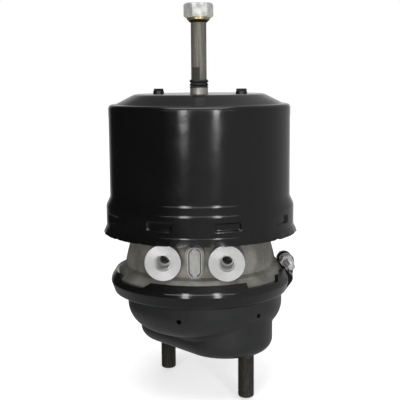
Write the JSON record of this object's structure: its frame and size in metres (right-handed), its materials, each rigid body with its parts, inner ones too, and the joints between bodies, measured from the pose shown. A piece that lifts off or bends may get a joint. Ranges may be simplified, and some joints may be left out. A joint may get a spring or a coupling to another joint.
{
  "type": "air brake chamber",
  "caption": "Spring brake chamber for a disc brake: pressed spring cylinder, cast flange with air ports, clamped bowl with studs, push rod and winding-out release bolt.",
  "frame": {"origin": "centre between the two mounting studs, on the bowl's mounting face", "axes": "+Z along the chamber axis, up to the release bolt; the air ports face -Y; the clamp bolt is on the +X side"},
  "size_m": [0.1976, 0.1976, 0.393],
  "materials": {
    "black_paint": "gloss",
    "black_satin": "satin",
    "cast_aluminium": "as cast, blasted",
    "plate_aluminium": "satin",
    "zinc_plate": "zinc plated",
    "brass": "satin",
    "dark_steel": "phosphated",
    "stud_steel": "dark phosphated",
    "bright_steel": "turned",
    "spring_steel": "coated",
    "black_plastic": "matt",
    "bush_plastic": "matt",
    "black_rubber": "matt"
  },
  "bodies": {
    "housing": {"spring_cylinder": "black_paint", "bowl": "black_satin", "clamp_ring": "black_paint", "intermediate_flange": "cast_aluminium", "id_plate": "plate_aluminium", "plate_rivets": "plate_aluminium", "clamp_bolt": "zinc_plate", "clamp_nut": "zinc_plate", "release_bush": "bright_steel", "mounting_studs": "stud_steel", "stud_plate": "dark_steel", "vent_plugs": "black_plastic", "bolt_wiper": "black_rubber", "flange_o_ring": "black_rubber", "tube_seal": "black_rubber", "diaphragm": "black_rubber", "bellows": "black_rubber", "rod_wiper": "black_rubber", "guide_bush": "bush_plastic", "circlip": "dark_steel", "power_spring": "spring_steel", "return_spring": "spring_steel"},
    "bolt_carrier": {"thrust_washer": "bright_steel"},
    "release_screw": {"release_bolt": "dark_steel", "release_nut": "zinc_plate", "bolt_collar": "brass", "lock_pin": "bright_steel"},
    "piston": {"spring_piston": "cast_aluminium", "piston_seal": "black_rubber", "piston_guide_ring": "bush_plastic", "piston_tube": "bright_steel", "tube_foot": "bush_plastic"},
    "thrust_rod": {"push_rod": "zinc_plate", "pressure_plate": "zinc_plate"}
  },
  "joints": [
    {"name": "release_travel", "type": "slide", "parent": "housing", "child": "bolt_carrier", "axis": [0, 0, -1], "range_m": [0, 0.056]},
    {"name": "release_turn", "type": "hinge", "parent": "bolt_carrier", "child": "release_screw", "pos_m": [-0.0042, 0, 0.3], "axis": [0, 0, -1], "range_deg": [0, 10080]},
    {"name": "piston_slide", "type": "slide", "parent": "housing", "child": "piston", "axis": [0, 0, -1], "range_m": [0, 0.056], "deforming": ["power_spring"]},
    {"name": "push_rod_slide", "type": "slide", "parent": "housing", "child": "thrust_rod", "axis": [0, 0, -1], "range_m": [0, 0.056], "deforming": ["return_spring", "diaphragm", "bellows"]}
  ],
  "couplings": [
    {"joint": "release_turn", "follows": "release_travel", "rad_per_m": 3141.6},
    {"joint": "piston_slide", "follows": "release_travel", "ratio": 1},
    {"joint": "push_rod_slide", "follows": "release_travel", "ratio": 1}
  ]
}
